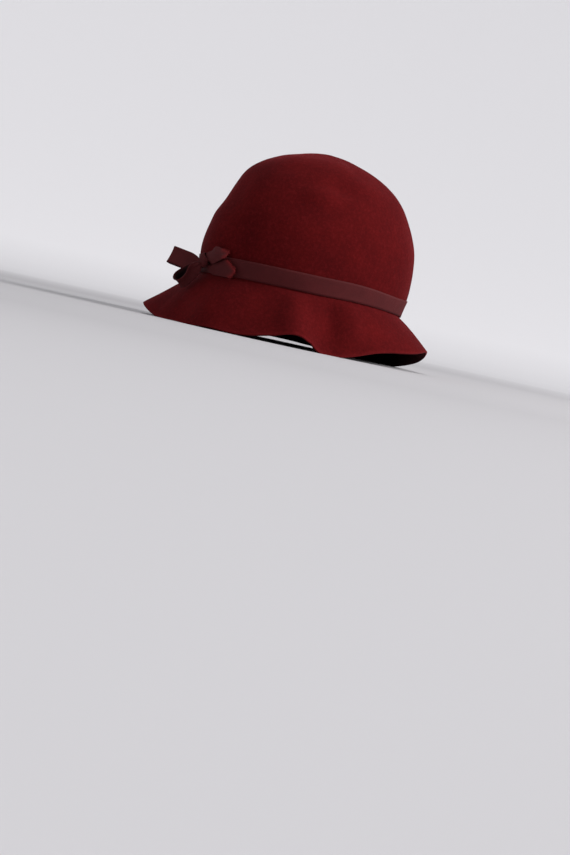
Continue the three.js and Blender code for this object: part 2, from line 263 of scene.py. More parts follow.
def crown_points(angle, up):
    """The crown's outer face; up goes from 0 at the crease to 1 at the top."""
    at = up * TOP_LENGTH
    height = smooth(PROFILE_LENGTHS, PROFILE_HEIGHTS, at)
    width = smooth(PROFILE_LENGTHS, PROFILE_WIDTHS, at)
    rise = smooth(PROFILE_LENGTHS, PROFILE_HEIGHTS, at + SLOPE_STEP) - height
    wider = smooth(PROFILE_LENGTHS, PROFILE_WIDTHS, at + SLOPE_STEP) - width
    spread = wider * crease_radius(angle)
    long = np.hypot(rise, spread)
    push = 0
    for dent in CROWN_DENTS:
        near = bell(turn_between(angle, dent["angle"]), dent["round"])
        push = push + dent["depth"] * near * bell(height - dent["height"], dent["rise"])
    radius = width * crease_radius(angle) - push * rise / long
    lifted = crease_rise(angle) * np.maximum(1 - height / CREASE_RISE_FADE, 0) ** 2
    return around(angle, radius, height + push * spread / long + lifted)


def brim_points(angle, out):
    """The brim's outer face; out goes from 0 at the crease to 1 at the edge."""
    knots = column(BRIM_EDGE, "angle")
    reach = smooth(knots, column(BRIM_EDGE, "reach"), angle, 360)
    drop = smooth(knots, column(BRIM_EDGE, "drop"), angle, 360)
    bend = 2 * out * (1 - out)
    radius = bend * (BELL["out_base"] + BELL["out_share"] * reach) + out * out * reach
    height = bend * (BELL["down_base"] + BELL["down_share"] * drop) + out * out * drop
    lifted = crease_rise(angle) * (1 - out) ** 2
    return around(angle, crease_radius(angle) + radius, lifted - height)


print("crown outline length in mm:", round(float(TOP_LENGTH), 1))

# %% [markdown]
# Blocked felt is never perfect. Fingers leave shallow dimples on the crown, with low
# swellings beside them, which are dimples of a negative depth. The brim's folds run up
# towards the band and lean a little to one side. All lie within a few millimetres of the
# main form. They could be sculpted by hand or painted as bump, but in the same rule they show
# in the outline too. Under the tight band the felt is held smooth, so there they fade out.

# %% Small dimples and folds
DIMPLES = table(
    "angle height depth round rise",
    (73, 95, 3.4, 13, 7),
    (93, 117, 1.1, 14, 9),
    (56, 84, -2.7, 12, 8),
    (4, 76, 1.6, 11, 26),
    (30, 104, 1.2, 14, 8),
    (160, 86, 1.3, 15, 14),
    (205, 50, 1.1, 20, 13),
    (292, 44, 1.3, 14, 18),
    (-33, 56, -2.2, 16, 9),
    (-33, 97, -2.3, 22, 13),
    (147, 101, -1.4, 22, 20),
)

BRIM_FOLDS = table(
    "angle depth round",
    (19, -1.9, 8),
    (41, 2.0, 8),
    (56, -3.3, 6),
    (74.5, 3.6, 5.5),
    (87, -2.6, 6),
    (110, 0.9, 9),
    (-14, 0.6, 8),
    (172, 0.7, 7),
    (196, -0.9, 8),
    (214, 0.9, 6),
    (258, 0.8, 7),
    (276, -0.9, 7),
)

FOLD_LEAN = 6
NICK = {"angle": 65.6, "round": 0.7, "depth": 1.3}
CROWN_ROWS = 88
BRIM_ROWS = 30
EDGE_ROWS = 6
COLUMNS = 432
UNEVEN = table("size depth", (34, 0.42), (11, 0.12))
FOLD_FULLNESS = 0.8
BAND_MIDDLE = 8.7
BAND_REACH = 11.5
BAND_SHARPNESS = 8


def grid_normals(rings):
    """Outward directions of rings of points."""
    round_ = np.roll(rings, -1, axis=1) - np.roll(rings, 1, axis=1)
    return unit(np.cross(np.gradient(rings, axis=0), round_))


def uneven(points):
    """Soft random unevenness, in millimetres, from the place in space."""
    flat = points.reshape(-1, 3)
    total = np.zeros(len(flat))
    for layer in UNEVEN:
        scale = 1 / (layer["size"] * MM)
        values = [noise.noise(Vector(p) * scale) for p in flat]
        total += np.array(values) * layer["depth"]
    return total.reshape(points.shape[:-1])


def outer_face():
    """The felt's outer face as rings from just below the top to the brim's edge."""
    angles = np.arange(COLUMNS) * 360 / COLUMNS
    ups = 1 - np.arange(1, CROWN_ROWS + 1) / CROWN_ROWS
    outs = np.arange(1, BRIM_ROWS + 1) / BRIM_ROWS
    crown = crown_points(angles[None, :], ups[:, None])
    lean = FOLD_LEAN * (1 - outs)[:, None] * outs[:, None] * 2
    brim = brim_points(angles[None, :] + lean, outs[:, None])
    turn = np.radians(lean)
    x = brim[..., 0] - CREASE_MIDDLE.x
    y = brim[..., 1] - CREASE_MIDDLE.y
    brim[..., 0] = x * np.cos(turn) + y * np.sin(turn) + CREASE_MIDDLE.x
    brim[..., 1] = y * np.cos(turn) - x * np.sin(turn) + CREASE_MIDDLE.y
    points = np.concatenate((crown, brim))
    push = np.zeros(points.shape[:-1])
    heights = (points[..., 2] - CREASE_MIDDLE.z) / MM
    for dimple in DIMPLES:
        away = turn_between(angles, dimple["angle"])[None, :]
        near = bell(away, dimple["round"]) * bell(heights - dimple["height"], dimple["rise"])
        push[:CROWN_ROWS] += (dimple["depth"] * near)[:CROWN_ROWS]
    fade = (np.sin(outs * math.pi) ** FOLD_FULLNESS)[:, None]
    for fold in BRIM_FOLDS:
        away = turn_between(angles, fold["angle"])[None, :]
        push[CROWN_ROWS:] += fold["depth"] * bell(away, fold["round"]) * fade
    push += uneven(points)
    from_band = (heights - crease_rise(angles) - BAND_MIDDLE) / BAND_REACH
    push *= 1 - np.exp(-(from_band**BAND_SHARPNESS))
    normals = grid_normals(points)
    points = points - normals * push[..., None] * MM
    nick = NICK["depth"] * bell(turn_between(angles, NICK["angle"]), NICK["round"])
    points[-1] += unit(points[-2] - points[-1]) * nick[:, None] * MM
    return points


felt_outer = outer_face()
print("felt outer face, rows and columns:", felt_outer.shape[:2])

# %% [markdown]
# A wall of felt has no open edge, so its mesh has none either: rings of points are joined by
# faces, and a point closes each end. The volume of a closed mesh tells the weight of its
# felt, and the volume's sign tells whether the faces point outwards.

# %% Closed meshes from rings


def add_uvs(mesh, of_points):
    """A UV map from one pair of values for each point."""
    corners = np.empty(len(mesh.loops), dtype=np.int32)
    mesh.loops.foreach_get("vertex_index", corners)
    mesh.uv_layers.new(name="UVMap").data.foreach_set("uv", of_points[corners].reshape(-1))


def capped_mesh(name, rings, first, last, attributes, uvs):
    """A mesh from rings of points, closed by a point at each end."""
    rows, size = rings.shape[:2]
    points = np.concatenate((rings.reshape(-1, 3), [first, last]))
    row = (np.arange(rows - 1) * size)[:, None]
    k = np.arange(size)[None, :]
    turn = (k + 1) % size
    quads = np.stack((row + k, row + size + k, row + size + turn, row + turn), axis=-1)
    faces = quads.reshape(-1, 4).tolist()
    top = rows * size
    end = top - size
    faces += [(top, j, (j + 1) % size) for j in range(size)]
    faces += [(top + 1, end + (j + 1) % size, end + j) for j in range(size)]
    mesh = bpy.data.meshes.new(name)
    mesh.from_pydata(points.tolist(), [], faces)
    for key, values in attributes.items():
        flat = np.append(values.reshape(-1), values[-1, -1:].repeat(2))
        mesh.attributes.new(key, "FLOAT", "POINT").data.foreach_set("value", flat)
    add_uvs(mesh, np.concatenate((uvs.reshape(-1, 2), uvs[-1, -1:].repeat(2, axis=0))))
    mesh.polygons.foreach_set("use_smooth", np.ones(len(mesh.polygons), dtype=bool))
    mesh.validate()
    mesh.update()
    return mesh


def add_object(name, mesh):
    thing = bpy.data.objects.new(name, mesh)
    bpy.context.scene.collection.objects.link(thing)
    return thing


def signed_volume(mesh):
    mesh.calc_loop_triangles()
    points = np.empty(len(mesh.vertices) * 3)
    mesh.vertices.foreach_get("co", points)
    points = points.reshape(-1, 3)
    corners = np.empty(len(mesh.loop_triangles) * 3, dtype=np.int32)
    mesh.loop_triangles.foreach_get("vertices", corners)
    a, b, c = (points[corners[i::3]] for i in range(3))
    return float(np.einsum("ij,ij->", a, np.cross(b, c)) / 6)


# %% [markdown]
# The hat's wall is felt about 2 mm thick, cut clean at the brim's edge, and a cut felt edge
# soon rounds a little. Solidify could thicken a single sheet, but the brim rests on the
# table and is pressed flat there, so the inner face is set off from the outer one here and
# both are kept above the table. A few rings between them round the edge.

# %% The felt body
EDGE_BULGE = 0.45
EDGE_FULLNESS = 0.6
WORN_EDGE = 2.2
WORN_CREASE_ROWS = 3.5
TOP_SINK = 0.1


def felt_rings():
    """All rings of the felt: outer face, rounded edge, inner face."""
    normals = grid_normals(felt_outer)
    thick = FELT_THICKNESS * MM
    edge_out = unit(felt_outer[-1] - felt_outer[-2])
    bulge = EDGE_BULGE * MM
    edge = felt_outer[-1] - edge_out * bulge
    rings = [felt_outer[:-1]]
    for row in range(EDGE_ROWS + 1):
        turn = math.pi * row / EDGE_ROWS
        depth = (1 - math.cos(turn)) / 2 * thick
        outwards = bulge * math.sin(turn) ** EDGE_FULLNESS
        rings.append((edge - normals[-1] * depth + edge_out * outwards)[None])
    inner = (felt_outer - normals * thick)[:-1]
    brim_rows = np.arange(len(inner) - 2, CROWN_ROWS, -1)
    crown_rows = np.arange(CROWN_ROWS, -1, -2)
    rings.append(inner[np.concatenate((brim_rows, crown_rows))])
    rings = np.concatenate(rings)
    rings[..., 2] = np.maximum(rings[..., 2], 0)
    return rings


def felt_mesh():
    rings = felt_rings()
    rows = len(rings)
    steps = np.linalg.norm(np.diff(rings, axis=0), axis=-1).mean(axis=1)
    lengths = np.concatenate(([0], np.cumsum(steps)))
    angles = np.arange(COLUMNS) / COLUMNS
    girth = math.pi * (CREASE_HALF_LENGTH + CREASE_HALF_WIDTH) * MM
    uvs = np.stack(np.broadcast_arrays(angles[None, :] * girth, lengths[:, None]), axis=-1)
    edge_row = CROWN_ROWS + BRIM_ROWS - 1 + EDGE_ROWS / 2
    from_edge = np.abs(lengths - np.interp(edge_row, np.arange(rows), lengths))
    marks = {
        "edge": bell(from_edge, WORN_EDGE * MM),
        # the inner face, which the material darkens with painted shade
        "inside": (np.arange(rows) > edge_row).astype(float),
        "crease": bell(np.arange(rows) - CROWN_ROWS, WORN_CREASE_ROWS),
    }
    marks = {key: row[:, None].repeat(COLUMNS, axis=1) for key, row in marks.items()}
    top = felt_outer[0].mean(axis=0)
    top[2] = crown_points(0, np.array([1.0]))[0][2] - TOP_SINK * MM
    low = top - np.array((0, 0, FELT_THICKNESS * MM))
    return capped_mesh("hat_felt", rings, top, low, marks, uvs)


hat_felt = add_object("hat_felt", felt_mesh())
print("felt volume in cm3:", round(signed_volume(hat_felt.data) * 1e6, 1))
print("felt triangles:", len(hat_felt.data.loop_triangles))

# %% [markdown]
# The band is a length of grosgrain ribbon wrapped tight round the foot of the crown, just
# above the crease. It could be cut out of the crown's own mesh, but it is its own piece, so
# every point of it is found on the crown's wall at a height above the crease, and lifted
# off the felt. The same finding places the bow's knot and tails.

# %% Points on the crown's wall
RIBBON_WIDTH = 15.4
RIBBON_THICKNESS = 0.55
BAND_BOTTOM = 0.5
BAND_TOP = 16.3
BAND_DIP = {"angle": 122, "depth": 1.5, "round": 24}
BAND_LIFT = 0.5
BOW_ANGLE = -2
BOW_HEIGHT = 11.5
HALVINGS = 30
SLOPE_REACH = 0.01


def wall_points(angle, height, lift):
    """Points on the crown's wall at a height above the crease, lifted off it."""
    angle, height = np.broadcast_arrays(np.asarray(angle, float), np.asarray(height, float))
    low = np.zeros(angle.shape)
    high = np.full(angle.shape, 0.5)
    for _ in range(HALVINGS):
        middle = (low + high) / 2
        is_below = (crown_points(angle, middle)[..., 2] - CREASE_MIDDLE.z) / MM < height
        low = np.where(is_below, middle, low)
        high = np.where(is_below, high, middle)
    above = crown_points(angle, low + SLOPE_REACH)
    below = crown_points(angle, np.maximum(low - SLOPE_REACH, 0))
    round_ = crown_points(angle + 1, low) - crown_points(angle - 1, low)
    normals = unit(np.cross(round_, above - below))
    return crown_points(angle, low) + normals * np.asarray(lift)[..., None] * MM


BOW_RISE = BOW_HEIGHT + crease_rise(BOW_ANGLE)
BOW_FOOT = wall_points(BOW_ANGLE, BOW_RISE, 0)
BOW_OUT = unit(wall_points(BOW_ANGLE, BOW_RISE, 1) - BOW_FOOT)
BOW_LEFT = unit(np.cross((0, 0, 1), BOW_OUT))
BOW_UP = np.cross(BOW_OUT, BOW_LEFT)


def bow_direction(out, left, up):
    return BOW_OUT * out + BOW_LEFT * left + BOW_UP * up


print("bow foot in mm:", (BOW_FOOT / MM).round(1))

# %% [markdown]
# Ribbon is a thin even sheet, so each ribbon piece is made from a grid of points along and
# across it, and given its thickness here. The sides stay flat-shaded, which keeps the
# woven edges crisp. Each point knows how far along the ribbon it is, which later places the
# ribs, how raw it is, for the cut ends, and how much painted shade it takes, as inside a loop.

# %% Ribbon solids from a grid of points


def ribbon_mesh(name, middle, along, across, raw=0.0, enclosed=0.0, closed=False):
    """A ribbon from points [along, across], joined end to end when it is closed."""
    count, wide = middle.shape[:2]
    if closed:
        run = np.roll(middle, -1, axis=0) - np.roll(middle, 1, axis=0)
    else:
        run = np.gradient(middle, axis=0)
    normals = unit(np.cross(run, np.gradient(middle, axis=1)))
    half = RIBBON_THICKNESS / 2 * MM
    points = np.concatenate((middle + normals * half, middle - normals * half)).reshape(-1, 3)
    back = count * wide
    faces = []
    smooth_faces = []
    spans = count if closed else count - 1
    for i in range(spans):
        here = i * wide
        after = (i + 1) % count * wide
        for j in range(wide - 1):
            faces.append((here + j, after + j, after + j + 1, here + j + 1))
            under = (here + j + 1, after + j + 1, after + j, here + j)
            faces.append(tuple(back + corner for corner in under))
            smooth_faces += [True, True]
        last = wide - 1
        faces.append((here, back + here, back + after, after))
        faces.append((here + last, after + last, back + after + last, back + here + last))
        smooth_faces += [False, False]
    if not closed:
        end = (count - 1) * wide
        for j in range(wide - 1):
            faces.append((j, j + 1, back + j + 1, back + j))
            faces.append((end + j + 1, end + j, back + end + j, back + end + j + 1))
            smooth_faces += [False, False]
    mesh = bpy.data.meshes.new(name)
    mesh.from_pydata(points.tolist(), [], faces)
    mesh.polygons.foreach_set("use_smooth", np.array(smooth_faces))
    even = np.ones((count, wide))
    along = along[:, None] * even
    across = across * even
    sides = {
        "along": (along, along),
        "across": (across, across),
        "raw": (raw * even, raw * even),
        # painted shade on one face of a loop, the other face gets none
        "enclosed": (enclosed * even, 0 * even),
    }
    for key, pair in sides.items():
        mesh.attributes.new(key, "FLOAT", "POINT").data.foreach_set("value", np.ravel(pair))
    uvs = np.stack((along, across), axis=-1).reshape(-1, 2)
    add_uvs(mesh, np.concatenate((uvs, uvs)))
    mesh.validate()
    if signed_volume(mesh) < 0:
        mesh.flip_normals()
    mesh.update()
    return mesh


def path_lengths(points):
    """Lengths along a row of points, from 0, in metres."""
    steps = np.linalg.norm(np.diff(points, axis=0), axis=-1)
    return np.concatenate(([0], np.cumsum(steps)))


def evenly(points, count):
    """The same path as points at even steps."""
    lengths = path_lengths(points)
    at = np.linspace(0, lengths[-1], count)
    return np.stack([np.interp(at, lengths, points[:, k]) for k in range(points.shape[1])], -1)


# %% [markdown]
# A pulled ribbon doesn't lie like a machined ring. Its edges wander by a few tenths of a
# millimetre and lift a little off the felt, and towards the back its upper edge has slipped.

# %% The ribbon band
RIB_PITCH = 0.92
BAND_COLUMNS = 2544
BAND_ROWS = 9
BAND_SLACK = {
    "bottom": (0.2, table("size waves start", (0.18, 3, 0.6), (0.08, 8, 0))),
    "top": (-0.15, table("size waves start", (0.18, 2, 2), (0.1, 7, 1))),
    "lift": (0.22, table("size waves start", (0.12, 5, 0.4), (0.08, 11, 2))),
}


def slack(part, turn):
    """How far a part of the band strays from its true place, in millimetres."""
    base, waves = BAND_SLACK[part]
    return base + sum(w["size"] * np.sin(w["waves"] * turn + w["start"]) for w in waves)


def whole_ribs(centre):
    """Lengths along a closed ribbon, stretched to a whole number of ribs, and its own length."""
    steps = np.linalg.norm(np.roll(centre, -1, axis=0) - centre, axis=-1)
    whole = steps.sum()
    ribs = round(whole / (RIB_PITCH * MM))
    return np.concatenate(([0], np.cumsum(steps)[:-1])) * ribs * RIB_PITCH * MM / whole, whole


def band_mesh():
    angles = np.arange(BAND_COLUMNS) * 360 / BAND_COLUMNS
    turn = np.radians(angles)
    across = np.linspace(0, 1, BAND_ROWS)
    away = turn_between(angles, BAND_DIP["angle"])
    slipped = BAND_DIP["depth"] * bell(away, BAND_DIP["round"])
    bottom = BAND_BOTTOM + slack("bottom", turn)
    top = BAND_TOP - slipped + slack("top", turn)
    height = (bottom + crease_rise(angles))[:, None] + (top - bottom)[:, None] * across
    lift = BAND_LIFT + slack("lift", turn)[:, None] * (2 * across - 1) ** 2
    middle = wall_points(angles[:, None], height, lift)
    along, whole = whole_ribs(middle[:, BAND_ROWS // 2])
    return ribbon_mesh("hat_band", middle, along, across * RIBBON_WIDTH * MM, closed=True), whole


band_data, band_length = band_mesh()
hat_band = add_object("hat_band", band_data)
print("band length in mm:", round(band_length / MM, 1))

# %% [markdown]
# The bow is tied from the same ribbon, and lies flat towards the wearer's left. One loop
# stands out to the right, pressed flat to a straight folded end. The other hangs forward
# and down. It opens late and turns about its own length, so one looks into its mouth. Both
# follow a path seen from the side, out, round the fold and back, which is then swept wide.

# %% The bow's two loops
SIDE_LOOP = {
    "root": (4.2, -7.2, -5.5),
    "run": (0.5, -0.85, 0.24),
    "face": (0.75, 0.52, 0.45),
    "tuck": (3.6, -3.9, -4.2),
    "length": 32,
    "opening": 4.6,
    "root_width": 8.5,
    "width": RIBBON_WIDTH,
    "end_width": RIBBON_WIDTH,
    "pinch": 1.3,
    "twist": (0, 0),
    "cup": 0.5,
    "sway": 0.5,
    "curl": 0,
}

FRONT_LOOP = {
    "root": (8.2, -0.2, -4.1),
    "run": (0.68, -0.38, -0.62),
    "face": (-0.092, 0.85, -0.532),
    "tuck": (5.8, -3.2, -3.4),
    "length": 24.5,
    "opening": 8.6,
    "root_width": 7.5,
    "width": 13,
    "end_width": 11,
    "pinch": 3.4,
    "twist": (40, 12),
    "cup": 0.8,
    "sway": 0.3,
    "curl": 3.2,
}

LOOP_STEPS = 300
LOOP_ROWS = 15
LAYER_POINTS = 80
FOLD_POINTS = 40
ROOT_HALF_GAP = 0.7
ROOT_NARROWING = 0.35
ROOT_PLEATS = {"depth": 0.45, "count": 2.5}
GATHERED = 0.45
TUCKED = 0.22
CURL_AT = 0.3
CURL_OVER = 0.12
KNOT_SLANT = math.radians(45)
KNOT_AXIS = bow_direction(0, math.cos(KNOT_SLANT), math.sin(KNOT_SLANT))
KNOT_ACROSS = bow_direction(0, -math.sin(KNOT_SLANT), math.cos(KNOT_SLANT))


def loop_path(loop):
    """A loop seen from its side: one layer out, round the fold and the other layer back."""
    round_ = loop["opening"] / 2
    straight = loop["length"] - round_
    share = np.linspace(0, 1, LAYER_POINTS)
    x = share * straight
    opened = np.sin(share * math.pi / 2) ** loop["pinch"]
    y = ROOT_HALF_GAP + (round_ - ROOT_HALF_GAP) * opened
    turn = np.radians(np.linspace(90, -90, FOLD_POINTS))[1:-1]
    fold = np.stack((straight + round_ * np.cos(turn), round_ * np.sin(turn)), -1)
    wave = loop["sway"] * np.sin(share * math.pi) ** 2 * np.sin(share * 2.2 * math.pi)
    out = np.stack((x, y), -1)
    home = np.stack((x, -y + wave), -1)[::-1]
    return evenly(np.concatenate((out, fold, home)), LOOP_STEPS)


def loop_mesh(name, loop):
    run = unit(bow_direction(*loop["run"]))
    face = bow_direction(*loop["face"])
    face = unit(face - run * face.dot(run))
    path = loop_path(loop)
    root = bow_direction(*loop["root"])
    from_root = np.clip(path[:, :1] / loop["length"], 0, 1)
    start, end = loop["twist"]
    twist = np.radians(start + (end - start) * from_root)
    face = face * np.cos(twist) + np.cross(run, face) * np.sin(twist)
    gathered = np.minimum(path[:, 0] / (GATHERED * loop["length"]), 1)
    spread = np.sin(gathered * math.pi / 2)[:, None]
    tuck = np.maximum(1 - path[:, :1] / (TUCKED * loop["length"]), 0) ** 1.5
    spots = root + path[:, :1] * run + path[:, 1:] * face
    spots = BOW_FOOT + (spots + (bow_direction(*loop["tuck"]) - root) * tuck) * MM
    across = unit(np.cross(run, face) * (1 - tuck) + KNOT_ACROSS * tuck)
    normal = unit(np.cross(np.gradient(spots, axis=0), across))
    widest = loop["width"] + (loop["end_width"] - loop["width"]) * from_root**2
    half = (loop["root_width"] + (widest - loop["root_width"]) * spread) / 2
    half = half * (1 - ROOT_NARROWING * tuck)
    v = np.linspace(-1, 1, LOOP_ROWS)
    share = np.linspace(0, 1, LOOP_STEPS)[:, None]
    pleats = ROOT_PLEATS["depth"] * np.cos(v * ROOT_PLEATS["count"] * math.pi)
    off = pleats * (1 - spread) - loop["cup"] * v**2 * spread
    rolled = loop["curl"] * np.maximum(v, 0) ** 3 * bell(share - CURL_AT, CURL_OVER)
    grid = spots[:, None] + across[:, None] * (half * v - 0.5 * rolled)[..., None] * MM
    grid = grid + normal[:, None] * (off - rolled)[..., None] * MM
    along = path_lengths(spots)
    # painted shade on the loop's inner face, all but its edges
    inside = 1 - v**6
    mesh = ribbon_mesh(name, grid, along, (v + 1) / 2 * RIBBON_WIDTH * MM, enclosed=inside)
    return mesh, along[-1]


side_loop_data, side_loop_length = loop_mesh("hat_side_loop", SIDE_LOOP)
front_loop_data, front_loop_length = loop_mesh("hat_front_loop", FRONT_LOOP)
hat_side_loop = add_object("hat_side_loop", side_loop_data)
hat_front_loop = add_object("hat_front_loop", front_loop_data)
print("loop lengths in mm:", round(side_loop_length / MM, 1), round(front_loop_length / MM, 1))

# %% [markdown]
# The two tails lie back along the crown on the wearer's left. The upper one is cut on the
# slant. The one below follows the band, and its raw end has opened into threads, with a
# corner turned up. Each tail is laid out on the wall by its two edges.

# %% The bow's two tails
UPPER_TAIL = table(
    "low_round low_above high_round high_above lift",
    (4.6, 1.4, 1.8, 4.4, 4.5),
    (9.2, -0.2, 4.6, 6.6, 4.3),
    (13.5, -1.6, 9, 8.2, 4.2),
    (22, 1.6, 14.4, 12.2, 4.4),
    (29.4, 5.8, 29.6, 9.4, 4.6),
)

SIDE_TAIL = table(
    "low_round low_above high_round high_above lift",
    (-1.5, -6.2, 1.6, -3.2, 2.0),
    (5, -9.6, 6.4, -4.6, 2.4),
    (13, -11.8, 13.5, -2.4, 2.7),
    (22.5, -12, 21.5, 0.6, 2.9),
    (31.5, -11.8, 28.6, 2.6, 3),
    (38.4, -5.2, 37.8, -3.8, 3.3),
)

TAIL_STEPS = 130
TAIL_ROWS = 17
RAW_REACH = 2.4


def rawness(grid, cut_from, reach):
    """How raw each point is: 1 along the cut edges beyond a share of the length, then fading."""
    first = round(cut_from * len(grid))
    cut = np.concatenate((grid[first:, 0], grid[first:, -1], grid[-1]))
    apart = np.linalg.norm(grid[:, :, None] - cut, axis=-1).min(axis=-1)
    return bell(apart, reach * MM)


def tail_mesh(name, rows, buckle, turned_up, facing_up, cut_from):
    knots = np.arange(len(rows), dtype=float)
    at = np.linspace(0, len(rows) - 1, TAIL_STEPS)
    v = np.linspace(0, 1, TAIL_ROWS)
    edges = {key: smooth(knots, column(rows, key), at)[:, None] for key in rows[0]}
    round_ = edges["low_round"] + (edges["high_round"] - edges["low_round"]) * v
    above = edges["low_above"] + (edges["high_above"] - edges["low_above"]) * v
    share = (at / at[-1])[:, None]
    lift = edges["lift"] + buckle * np.sin(share * math.pi) * np.sin(v * math.pi)
    lift = lift + turned_up * share**5 + facing_up * (0.5 - v) * np.sin(share * math.pi / 2)
    angle = BOW_ANGLE + np.degrees(round_ / crease_radius(BOW_ANGLE))
    grid = wall_points(angle, BOW_HEIGHT + crease_rise(angle) + above, lift)
    along = path_lengths(grid[:, TAIL_ROWS // 2])
    raw = rawness(grid, cut_from, RAW_REACH)
    return ribbon_mesh(name, grid, along, v * RIBBON_WIDTH * MM, raw), along[-1]


upper_tail_data, upper_tail_length = tail_mesh(
    "hat_upper_tail", UPPER_TAIL, buckle=0.9, turned_up=0.6, facing_up=2.6, cut_from=0.9
)
side_tail_data, side_tail_length = tail_mesh(
    "hat_side_tail", SIDE_TAIL, buckle=0.0, turned_up=2.2, facing_up=0.6, cut_from=0.8
)
hat_upper_tail = add_object("hat_upper_tail", upper_tail_data)
hat_side_tail = add_object("hat_side_tail", side_tail_data)
print("tail lengths in mm:", round(upper_tail_length / MM, 1), round(side_tail_length / MM, 1))

# %% [markdown]
# The knot is a short turn of the ribbon round the bow's middle, gathered into pleats and
# slanting as the wrap does. It is modelled as that turn of ribbon, open at both ends, where
# the loops and tails come out.

# %% The bow's knot
KNOT = {"length": 12, "width": 11, "depth": 5.6, "lift": 1.8, "narrowing": 0.34}
KNOT_PLEATS = {"depth": 0.26, "count": 3.3, "slant": 0.5}
KNOT_STEPS = 150
KNOT_ROWS = 25


def knot_mesh():
    middle = BOW_FOOT + BOW_OUT * (KNOT["lift"] + KNOT["depth"] / 2) * MM
    turn = 2 * math.pi * np.arange(KNOT_STEPS) / KNOT_STEPS
    v = np.linspace(-1, 1, KNOT_ROWS)
    belly = 1 - KNOT["narrowing"] * v**2
    slanted = KNOT_PLEATS["slant"] * np.sin(turn)[:, None]
    pleats = KNOT_PLEATS["depth"] * np.cos(v * KNOT_PLEATS["count"] * math.pi + slanted)
    wide = KNOT["width"] / 2 * belly + pleats
    deep = KNOT["depth"] / 2 * belly + pleats
    grid = middle + KNOT_AXIS * (v * KNOT["length"] / 2)[None, :, None] * MM
    grid = grid + KNOT_ACROSS * (wide * np.cos(turn)[:, None])[..., None] * MM
    grid = grid + BOW_OUT * (deep * np.sin(turn)[:, None])[..., None] * MM
    along, whole = whole_ribs(grid[:, KNOT_ROWS // 2])
    across_at = (v + 1) / 2 * RIBBON_WIDTH * MM
    return ribbon_mesh("hat_knot", grid, along, across_at, closed=True), whole


knot_data, knot_length = knot_mesh()
hat_knot = add_object("hat_knot", knot_data)
print("knot's turn of ribbon in mm:", round(knot_length / MM, 1))

# %% [markdown]
# Grosgrain is known by its ribs: the thick cross threads stand up as small even ridges from
# edge to edge. A bump pattern would do from far away, but real ridges also make the tiny
# steps along the woven edge. They repeat along a path, so a Geometry Nodes tree makes them,
# with the pitch and height as named inputs. It reads how far along the ribbon a point is
# and lifts it along its normal.

# %% Ribs by Geometry Nodes


def new_group(name, inputs):
    """A geometry tree with named inputs, and its input and output nodes."""
    tree = bpy.data.node_groups.new(name, "GeometryNodeTree")
    tree.interface.new_socket("Geometry", in_out="INPUT", socket_type="NodeSocketGeometry")
    for key, kind in inputs.items():
        tree.interface.new_socket(key, in_out="INPUT", socket_type=kind)
    tree.interface.new_socket("Geometry", in_out="OUTPUT", socket_type="NodeSocketGeometry")
    return tree, tree.nodes.new("NodeGroupInput"), tree.nodes.new("NodeGroupOutput")


def add_node(tree, kind, settings=None, sockets=None):
    """One node with its settings, and its sockets linked or set."""
    node = tree.nodes.new(kind)
    for key, value in (settings or {}).items():
        setattr(node, key, value)
    for key, value in (sockets or {}).items():
        if isinstance(value, bpy.types.NodeSocket):
            tree.links.new(value, node.inputs[key])
        else:
            node.inputs[key].default_value = value
    return node


def math_node(tree, operation, first, second=0.0):
    sockets = {0: first, 1: second}
    return add_node(tree, "ShaderNodeMath", {"operation": operation}, sockets).outputs[0]


def scaled(tree, vector, size):
    sockets = {0: vector, "Scale": size}
    return add_node(tree, "ShaderNodeVectorMath", {"operation": "SCALE"}, sockets).outputs[0]


def finish_tree(tree, given, result, geometry):
    """The end of every tree: instances made real, and the material."""
    real = add_node(tree, "GeometryNodeRealizeInstances", None, {"Geometry": geometry})
    sockets = {"Geometry": real.outputs[0], "Material": given.outputs["Material"]}
    painted = add_node(tree, "GeometryNodeSetMaterial", None, sockets)
    tree.links.new(painted.outputs[0], result.inputs[0])
    return tree


def ribs_tree():
    inputs = {"Rib pitch": "NodeSocketFloat", "Rib height": "NodeSocketFloat"}
    tree, given, result = new_group("Grosgrain ribs", inputs | {"Material": "NodeSocketMaterial"})
    read = {"data_type": "FLOAT"}
    along = add_node(tree, "GeometryNodeInputNamedAttribute", read, {"Name": "along"})
    turns = math_node(tree, "DIVIDE", along.outputs["Attribute"], given.outputs["Rib pitch"])
    wave = math_node(tree, "COSINE", math_node(tree, "MULTIPLY", turns, 2 * math.pi))
    lift = math_node(tree, "MULTIPLY", wave, given.outputs["Rib height"])
    normal = add_node(tree, "GeometryNodeInputNormal")
    offset = scaled(tree, normal.outputs[0], lift)
    sockets = {"Geometry": given.outputs["Geometry"], "Offset": offset}
    moved = add_node(tree, "GeometryNodeSetPosition", None, sockets)
    return finish_tree(tree, given, result, moved.outputs[0])


def run_tree(thing, tree, values):
    """Run a geometry tree on an object and keep its result as the object's plain mesh."""
    modifier = thing.modifiers.new(tree.name, "NODES")
    modifier.node_group = tree
    for item in tree.interface.items_tree:
        if item.in_out == "INPUT" and item.name in values:
            modifier[item.identifier] = values[item.name]
    thing.update_tag()
    evaluated = thing.evaluated_get(bpy.context.evaluated_depsgraph_get())
    mesh = bpy.data.meshes.new_from_object(evaluated)
    thing.modifiers.remove(modifier)
    old = thing.data
    mesh.name = thing.name
    thing.data = mesh
    bpy.data.meshes.remove(old)
    return len(mesh.vertices)


RIBS = ribs_tree()
print("inputs of the ribs:", [item.name for item in RIBS.interface.items_tree])

# %% [markdown]
# A cut ribbon frays: short loose threads stand out of its raw end, each at its own lean.
# Threads like these could be a hair system, but the part needs plain meshes, so a second
# tree scatters points on the end face of a tail, puts a thin bent tube on each, and joins
# them to the ribbon. The seed is fixed, so each run gives the same threads.

